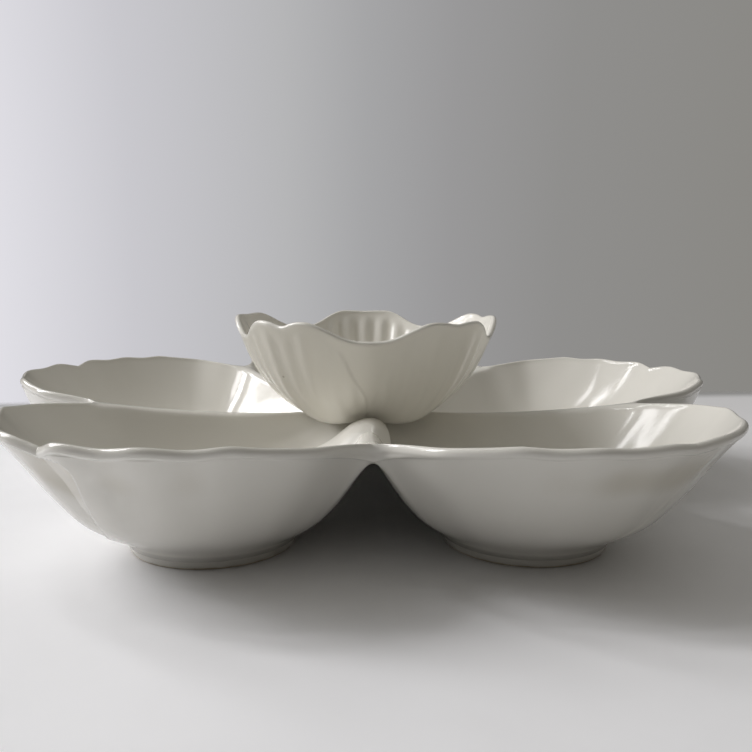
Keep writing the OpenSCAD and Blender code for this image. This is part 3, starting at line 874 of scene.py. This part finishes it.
def pooled_glaze_group():
    """Colour of a glaze that pools in the creases and drifts between its full and its thin tone."""
    inputs = [("Glaze", "NodeSocketColor", IVORY), ("Pooled", "NodeSocketColor", IVORY_POOLED),
        ("Thin", "NodeSocketColor", IVORY_THIN), ("Drift", "NodeSocketFloat", 0.3)]
    group, inp, out = new_group("pooled_glaze", inputs, [("Color", "NodeSocketColor")])
    place = new_node(group, "ShaderNodeTexCoord").outputs["Object"]
    depth = new_node(group, "ShaderNodeAttribute", attribute_name="depth").outputs["Fac"]
    drift = ramp_between(group, noise(group, place, DRIFT_SCALE), *DRIFT_BAND)
    drift = arithmetic(group, "MULTIPLY", drift, inp.outputs["Drift"])
    body = mix_colour(group, drift, inp.outputs["Glaze"], inp.outputs["Thin"])
    pooled = mix_colour(group, ramp_between(group, depth, *POOL_BAND), body, inp.outputs["Pooled"])
    group.links.new(pooled, out.inputs["Color"])
    return group


def orange_peel_group():
    """Normal and roughness of a glaze with the soft ripple of orange peel and a haze that comes and goes."""
    inputs = [(label, "NodeSocketFloat", 0.1) for label in ("Ripple", "Gloss", "Haze")]
    outputs = [("Normal", "NodeSocketVector"), ("Roughness", "NodeSocketFloat")]
    group, inp, out = new_group("orange_peel", inputs, outputs)
    place = new_node(group, "ShaderNodeTexCoord").outputs["Object"]
    broad = noise(group, place, PEEL_SCALE, detail=2.0, rough=0.4)
    fine = noise(group, place, PEEL_FINE_SCALE, detail=2.0)
    height = arithmetic(group, "ADD", broad, arithmetic(group, "MULTIPLY", fine, PEEL_FINE_SHARE))
    ripple = new_node(group, "ShaderNodeBump")
    ripple.inputs["Distance"].default_value = PEEL_DEPTH
    group.links.new(inp.outputs["Ripple"], ripple.inputs["Strength"])
    group.links.new(height, ripple.inputs["Height"])
    haze = ramp_between(group, noise(group, place, HAZE_SCALE), *HAZE_BAND)
    haze = arithmetic(group, "MULTIPLY", haze, inp.outputs["Haze"])
    group.links.new(ripple.outputs["Normal"], out.inputs["Normal"])
    group.links.new(arithmetic(group, "ADD", haze, inp.outputs["Gloss"]), out.inputs["Roughness"])
    return group


def kiln_speck_group():
    """Mask of the few tiny iron specks that show in a fired body."""
    inputs = [("Scale", "NodeSocketFloat", 90.0), ("Amount", "NodeSocketFloat", 0.5)]
    group, inp, out = new_group("kiln_specks", inputs, [("Mask", "NodeSocketFloat")])
    place = new_node(group, "ShaderNodeTexCoord").outputs["Object"]
    cells = new_node(group, "ShaderNodeTexVoronoi")
    group.links.new(place, cells.inputs["Vector"])
    group.links.new(inp.outputs["Scale"], cells.inputs["Scale"])
    speck = ramp_between(group, cells.outputs["Distance"], *SPECK_BAND, to_low=1.0, to_high=0.0)
    rare = new_node(group, "ShaderNodeMath", operation="GREATER_THAN")
    group.links.new(cells.outputs["Color"], rare.inputs[0])
    rare.inputs[1].default_value = SPECK_RARE
    mask = arithmetic(group, "MULTIPLY", speck, rare.outputs[0])
    mask = arithmetic(group, "MULTIPLY", mask, inp.outputs["Amount"])
    group.links.new(mask, out.inputs["Mask"])
    return group


GROUPS = {}


def use_group(tree, make, **settings):
    if make not in GROUPS:
        GROUPS[make] = make()
    node = new_node(tree, "ShaderNodeGroup", node_tree=GROUPS[make])
    for label, setting in settings.items():
        node.inputs[label].default_value = setting
    return node


def new_material(name):
    material = bpy.data.materials.new(name)
    material.use_nodes = True
    tree = material.node_tree
    return material, tree, tree.nodes["Principled BSDF"]


IVORY = (0.748, 0.73, 0.672, 1)
IVORY_POOLED = (0.63, 0.60, 0.52, 1)
IVORY_THIN = (0.778, 0.76, 0.70, 1)
SPECK = (0.24, 0.17, 0.11, 1)
CLAY = (0.70, 0.63, 0.52, 1)
CLAY_DARK = (0.52, 0.45, 0.35, 1)


def glaze_colour(tree, drift, specks, tone=1):
    """Colour of the glaze; tone makes all its colours lighter or darker."""
    colours = (IVORY, IVORY_POOLED, IVORY_THIN)
    glazed, pooled, thin = [tuple(tone * c for c in colour[:3]) + (1,) for colour in colours]
    colour = use_group(tree, pooled_glaze_group, Glaze=glazed, Pooled=pooled, Thin=thin, Drift=drift)
    mask = use_group(tree, kiln_speck_group, Scale=95.0, Amount=specks)
    return mix_colour(tree, mask.outputs["Mask"], colour.outputs["Color"], SPECK)


def glaze(name, ripple, gloss, haze, specks=0.45, drift=0.5, tone=1):
    """Glossy ivory glaze."""
    material, tree, shader = new_material(name)
    tree.links.new(glaze_colour(tree, drift, specks, tone), shader.inputs["Base Color"])
    skin = use_group(tree, orange_peel_group, Ripple=ripple, Gloss=gloss, Haze=haze)
    tree.links.new(skin.outputs["Normal"], shader.inputs["Normal"])
    tree.links.new(skin.outputs["Roughness"], shader.inputs["Roughness"])
    shader.inputs["IOR"].default_value = GLAZE_IOR
    return material


def wiped_foot(name, low):
    """Glaze down the side of a foot ring and bare clay where its underside was wiped."""
    material, tree, shader = new_material(name)
    place = new_node(tree, "ShaderNodeTexCoord").outputs["Object"]
    axes = new_node(tree, "ShaderNodeSeparateXYZ")
    tree.links.new(place, axes.inputs[0])
    wander = arithmetic(tree, "MULTIPLY", noise(tree, place, WIPE_SCALE), WIPE_WANDER)
    height = arithmetic(tree, "SUBTRACT", axes.outputs["Z"], wander)
    glazed = ramp_between(tree, height, low + WIPE_BAND[0], low + WIPE_BAND[1])
    grain = ramp_between(tree, noise(tree, place, CLAY_SCALE), *CLAY_BAND)
    clay = mix_colour(tree, grain, CLAY, CLAY_DARK)
    mask = use_group(tree, kiln_speck_group, Scale=160.0, Amount=0.8)
    clay = mix_colour(tree, mask.outputs["Mask"], clay, SPECK)
    colour = mix_colour(tree, glazed, clay, glaze_colour(tree, drift=0.4, specks=0.4))
    tree.links.new(colour, shader.inputs["Base Color"])
    skin = use_group(tree, orange_peel_group, Ripple=0.12, Gloss=0.14, Haze=0.1)
    tree.links.new(skin.outputs["Normal"], shader.inputs["Normal"])
    smoother = arithmetic(tree, "MULTIPLY", glazed, GLAZE_ROUGHNESS_LOSS)
    tree.links.new(arithmetic(tree, "SUBTRACT", CLAY_ROUGHNESS, smoother), shader.inputs["Roughness"])
    return material


def dress(obj, material, body, slot, *nodes):
    obj.data.materials.append(material)
    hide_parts(*nodes)
    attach(obj, body)
    return obj


def build():
    """Every piece with its material, body and the CAD nodes that it replaces."""
    dish_glaze = glaze("dish_glaze", ripple=0.16, gloss=0.10, haze=0.07)
    stem_glaze = glaze("stem_glaze", ripple=0.16, gloss=0.42, haze=0.1)
    # The dip bowl's glaze is the dish's glaze painted a tenth lighter: painted light that stands in for the
    # light bounced up under the bowl from the wells
    bowl_glaze = glaze("dip_bowl_glaze_painted_lighter", ripple=0.12, gloss=0.18, haze=0.1, tone=1.1)
    dish = glazed_dish()
    wells = ["well_" + side for side in WELLS]
    dress(dish, dish_glaze, "dish", "ivory_glaze", *wells, "center_seat")
    dress(stem(dish), stem_glaze, "dish", "ivory_glaze", "stem")
    foot = wiped_foot("wiped_foot", 0)
    for side, azimuth in WELLS.items():
        dress(foot_ring(side, azimuth), foot, "dish", "unglazed_foot", "foot_ring_" + side)
    dress(dip_bowl(), bowl_glaze, "nested_bowl", "ivory_glaze", "dip_bowl")
    cup_foot = wiped_foot("wiped_cup_foot", CUP_Z * MM)
    dress(dip_bowl_foot(), cup_foot, "nested_bowl", "unglazed_foot", "dip_bowl_foot")


# The photograph's camera: its place from the dish axis at the table in millimetres, its turns in
# radians, and its focal length in pixels of the photograph
CAMERA_AT = (-6.296, -325.054, 88.254)
CAMERA_PAN = 0.032
CAMERA_TILT = 0.126
CAMERA_ROLL = 0.006
CAMERA_NEAR = 0.01
FOCAL_PIXELS = 767.243
PHOTO_PIXELS = 752
SENSOR = 36


def camera():
    data = bpy.data.cameras.new("camera")
    data.lens = FOCAL_PIXELS / PHOTO_PIXELS * SENSOR
    data.sensor_width = SENSOR
    data.clip_start = CAMERA_NEAR
    obj = bpy.data.objects.new("camera", data)
    obj.location = (np.array(CAMERA_AT) + AXIS) * MM
    aim = Matrix.Rotation(-CAMERA_PAN, 3, "Z") @ Matrix.Rotation(math.pi / 2 - CAMERA_TILT, 3, "X") \
        @ Matrix.Rotation(CAMERA_ROLL, 3, "Z")
    obj.rotation_euler = aim.to_euler()
    bpy.context.scene.collection.objects.link(obj)
    bpy.context.scene.camera = obj


# The table, in metres: its reach, where it clears away, the distance of its far edge behind the dish
# axis, the slope of that edge, how soft it is and where a painted shadow darkens it, and where the window's
# painted light fades
TABLE_REACH = 3.0
TABLE_CLEARS = (0.55, 1.0)
TABLE_EDGE = 0.237
TABLE_SLOPE = 0.114
TABLE_EDGE_BAND = (-0.012, 0.016)
TABLE_PAINTED_SHADOW_BAND = (-0.03, 0.0)
TABLE_PAINTED_LIGHT_BAND = (-0.1, 0.32)
TABLE_MOTTLE_SCALE = 30.0
TABLE_MOTTLE_BAND = (0.3, 0.7)
TABLE_MOTTLE = 0.04
TABLE_WHITE = (0.83, 0.83, 0.84, 1)
# Painted window light: the table's colour is lighter towards the window on the left
TABLE_PAINTED_WINDOW_LIGHT = (0.97, 0.975, 1.0, 1)
# Painted shadow along the far edge and the table's random mottle both darken the colour towards this tone
TABLE_MOTTLE_AND_SHADOW_DARK = (0.42, 0.42, 0.42, 1)
# Tones of the wall behind, with the window's light and the shade away from it painted in, from the window
# side to the far side, each after its share of the way across, and the sideways part of the direction where
# they start and end
WALL_TONES = (
    (0.0, (1.0, 0.99, 1.0, 1)), (0.12, (0.81, 0.80, 0.85, 1)), (0.3, (0.585, 0.58, 0.615, 1)),
    (0.47, (0.465, 0.465, 0.475, 1)), (0.56, (0.378, 0.378, 0.386, 1)), (0.66, (0.318, 0.314, 0.318, 1)),
    (0.78, (0.276, 0.272, 0.266, 1)), (1.0, (0.25, 0.243, 0.226, 1)),
)
WALL_FROM = -0.60
WALL_TO = 0.50


def wall_tone(tree, direction):
    """Soft grey of the wall behind, with painted light making it lighter towards the window on the left and
    painted shade making it darker on the right.
    """
    axes = new_node(tree, "ShaderNodeSeparateXYZ")
    tree.links.new(direction, axes.inputs[0])
    across = new_node(tree, "ShaderNodeMapRange", clamp=True)
    tree.links.new(axes.outputs["X"], across.inputs["Value"])
    across.inputs["From Min"].default_value = WALL_FROM
    across.inputs["From Max"].default_value = WALL_TO
    ramp = new_node(tree, "ShaderNodeValToRGB")
    stops = ramp.color_ramp.elements
    for i, (place, tone) in enumerate(WALL_TONES):
        stop = stops[i] if i < len(stops) else stops.new(place)
        stop.position = place
        stop.color = tone
    tree.links.new(across.outputs["Result"], ramp.inputs["Fac"])
    return ramp.outputs["Color"]


def floor():
    """A pale table that ends in front of the wall and clears away to it far from the object."""
    mesh = bpy.data.meshes.new("floor")
    corners = [(TABLE_REACH * x, TABLE_REACH * y, 0) for x, y in ((-1, -1), (1, -1), (1, 1), (-1, 1))]
    mesh.from_pydata(corners, [], [(0, 1, 2, 3)])
    obj = bpy.data.objects.new("floor", mesh)
    bpy.context.scene.collection.objects.link(obj)
    material, tree, shader = new_material("pale_table")
    shader.inputs["Roughness"].default_value = 0.5
    shader.inputs["Specular IOR Level"].default_value = 0.3
    place = new_node(tree, "ShaderNodeNewGeometry").outputs["Position"]
    axes = new_node(tree, "ShaderNodeSeparateXYZ")
    tree.links.new(place, axes.inputs[0])
    edge = arithmetic(tree, "MULTIPLY", axes.outputs["X"], TABLE_SLOPE)
    behind = arithmetic(tree, "SUBTRACT", axes.outputs["Y"], edge)
    behind = arithmetic(tree, "SUBTRACT", behind, TABLE_EDGE + AXIS[1] * MM)
    length = new_node(tree, "ShaderNodeVectorMath", operation="LENGTH")
    tree.links.new(place, length.inputs[0])
    far = ramp_between(tree, length.outputs["Value"], *TABLE_CLEARS)
    cleared = arithmetic(tree, "MAXIMUM", far, ramp_between(tree, behind, *TABLE_EDGE_BAND))
    # Painted light: the table is coloured lighter on the window side, fading away from it
    painted_window_light = ramp_between(tree, axes.outputs["X"], *TABLE_PAINTED_LIGHT_BAND)
    white = mix_colour(tree, painted_window_light, TABLE_PAINTED_WINDOW_LIGHT, TABLE_WHITE)
    mottle = noise(tree, place, TABLE_MOTTLE_SCALE)
    mottle = ramp_between(tree, mottle, *TABLE_MOTTLE_BAND, to_high=TABLE_MOTTLE)
    # Painted shadow: the colour darkens in a band just before the far edge; the mottle adds random tone
    mottle_and_painted_shadow = arithmetic(tree, "ADD", mottle, ramp_between(tree, behind, *TABLE_PAINTED_SHADOW_BAND))
    tree.links.new(mix_colour(tree, mottle_and_painted_shadow, white, TABLE_MOTTLE_AND_SHADOW_DARK), shader.inputs["Base Color"])
    seen = new_node(tree, "ShaderNodeLightPath").outputs["Is Camera Ray"]
    clear = new_node(tree, "ShaderNodeBsdfTransparent")
    blend = new_node(tree, "ShaderNodeMixShader")
    tree.links.new(arithmetic(tree, "MULTIPLY", cleared, seen), blend.inputs["Fac"])
    tree.links.new(shader.outputs["BSDF"], blend.inputs[1])
    tree.links.new(clear.outputs["BSDF"], blend.inputs[2])
    tree.links.new(blend.outputs["Shader"], tree.nodes["Material Output"].inputs["Surface"])
    mesh.materials.append(material)


def lamp(name, place, target, width, height, power):
    data = bpy.data.lights.new(name, "AREA")
    data.shape = "RECTANGLE"
    data.size = width
    data.size_y = height
    data.energy = power
    obj = bpy.data.objects.new(name, data)
    obj.location = place
    aim = np.array(target) - np.array(place)
    flat = math.hypot(aim[0], aim[1])
    obj.rotation_euler = (math.atan2(flat, -aim[2]), 0, math.atan2(aim[1], aim[0]) - math.pi / 2)
    bpy.context.scene.collection.objects.link(obj)
    return data


# Light of the room: soft lobes by azimuth and elevation in degrees, each with its colour
ROOM_LOBES = (
    (315, 45, (0.09, 0.08, 0.065)), (45, 45, (0.41, 0.40, 0.38)), (225, 50, (0.06, 0.057, 0.052)),
    (195, 5, (0.17, 0.168, 0.165)), (0, 90, (0.25, 0.245, 0.23)),
)
ROOM_LOBE_POWER = 4
# The panes of the window: azimuth and width in degrees as seen from the dish, foot and head in metres
# and power in watts, and their distance in metres
WINDOW_PANES = (
    (148, 7, 0.45, 1.9, 7.0), (152, 7, 2.05, 2.8, 4.0), (169, 9, 0.45, 1.7, 15.5), (181, 9, 0.45, 1.7, 7.5),
    (173, 7, 2.7, 4.3, 7.5),
)
WINDOW_FAR = 1.3
WINDOW_COLOUR = (1.0, 0.99, 1.0)


def room_light(tree, direction):
    """Colour of the room's light by direction: the sum of its lobes."""
    total = None
    for azimuth, elevation, colour in ROOM_LOBES:
        flat = polar(math.cos(math.radians(elevation)), azimuth)
        facing = new_node(tree, "ShaderNodeVectorMath", operation="DOT_PRODUCT")
        tree.links.new(direction, facing.inputs[0])
        facing.inputs[1].default_value = (flat[0], flat[1], math.sin(math.radians(elevation)))
        lobe = new_node(tree, "ShaderNodeVectorMath", operation="SCALE")
        lobe.inputs[0].default_value = colour
        ahead = arithmetic(tree, "MAXIMUM", facing.outputs["Value"], 0.0)
        tree.links.new(arithmetic(tree, "POWER", ahead, ROOM_LOBE_POWER), lobe.inputs["Scale"])
        if total is None:
            total = lobe
            continue
        added = new_node(tree, "ShaderNodeVectorMath", operation="ADD")
        tree.links.new(total.outputs[0], added.inputs[0])
        tree.links.new(lobe.outputs[0], added.inputs[1])
        total = added
    return total.outputs[0]


def lights():
    """A wide window on the left and behind, and the light of the room."""
    for azimuth, turn, foot, head, power in WINDOW_PANES:
        a = math.radians(azimuth)
        middle = (foot + head) / 2
        width = 2 * WINDOW_FAR * math.tan(math.radians(turn / 2))
        place = (WINDOW_FAR * math.cos(a), WINDOW_FAR * math.sin(a), middle)
        pane = lamp("window_pane", place, (0, 0, middle), width, head - foot, power)
        pane.color = WINDOW_COLOUR
    world = bpy.data.worlds.new("room")
    bpy.context.scene.world = world
    world.use_nodes = True
    tree = world.node_tree
    background = tree.nodes["Background"]
    direction = new_node(tree, "ShaderNodeTexCoord").outputs["Generated"]
    seen = new_node(tree, "ShaderNodeLightPath").outputs["Is Camera Ray"]
    colour = mix_colour(tree, seen, room_light(tree, direction), wall_tone(tree, direction))
    tree.links.new(colour, background.inputs["Color"])
    background.inputs["Strength"].default_value = 1.0


build()
camera()
floor()
lights()
bpy.context.scene.view_settings.view_transform = "Standard"
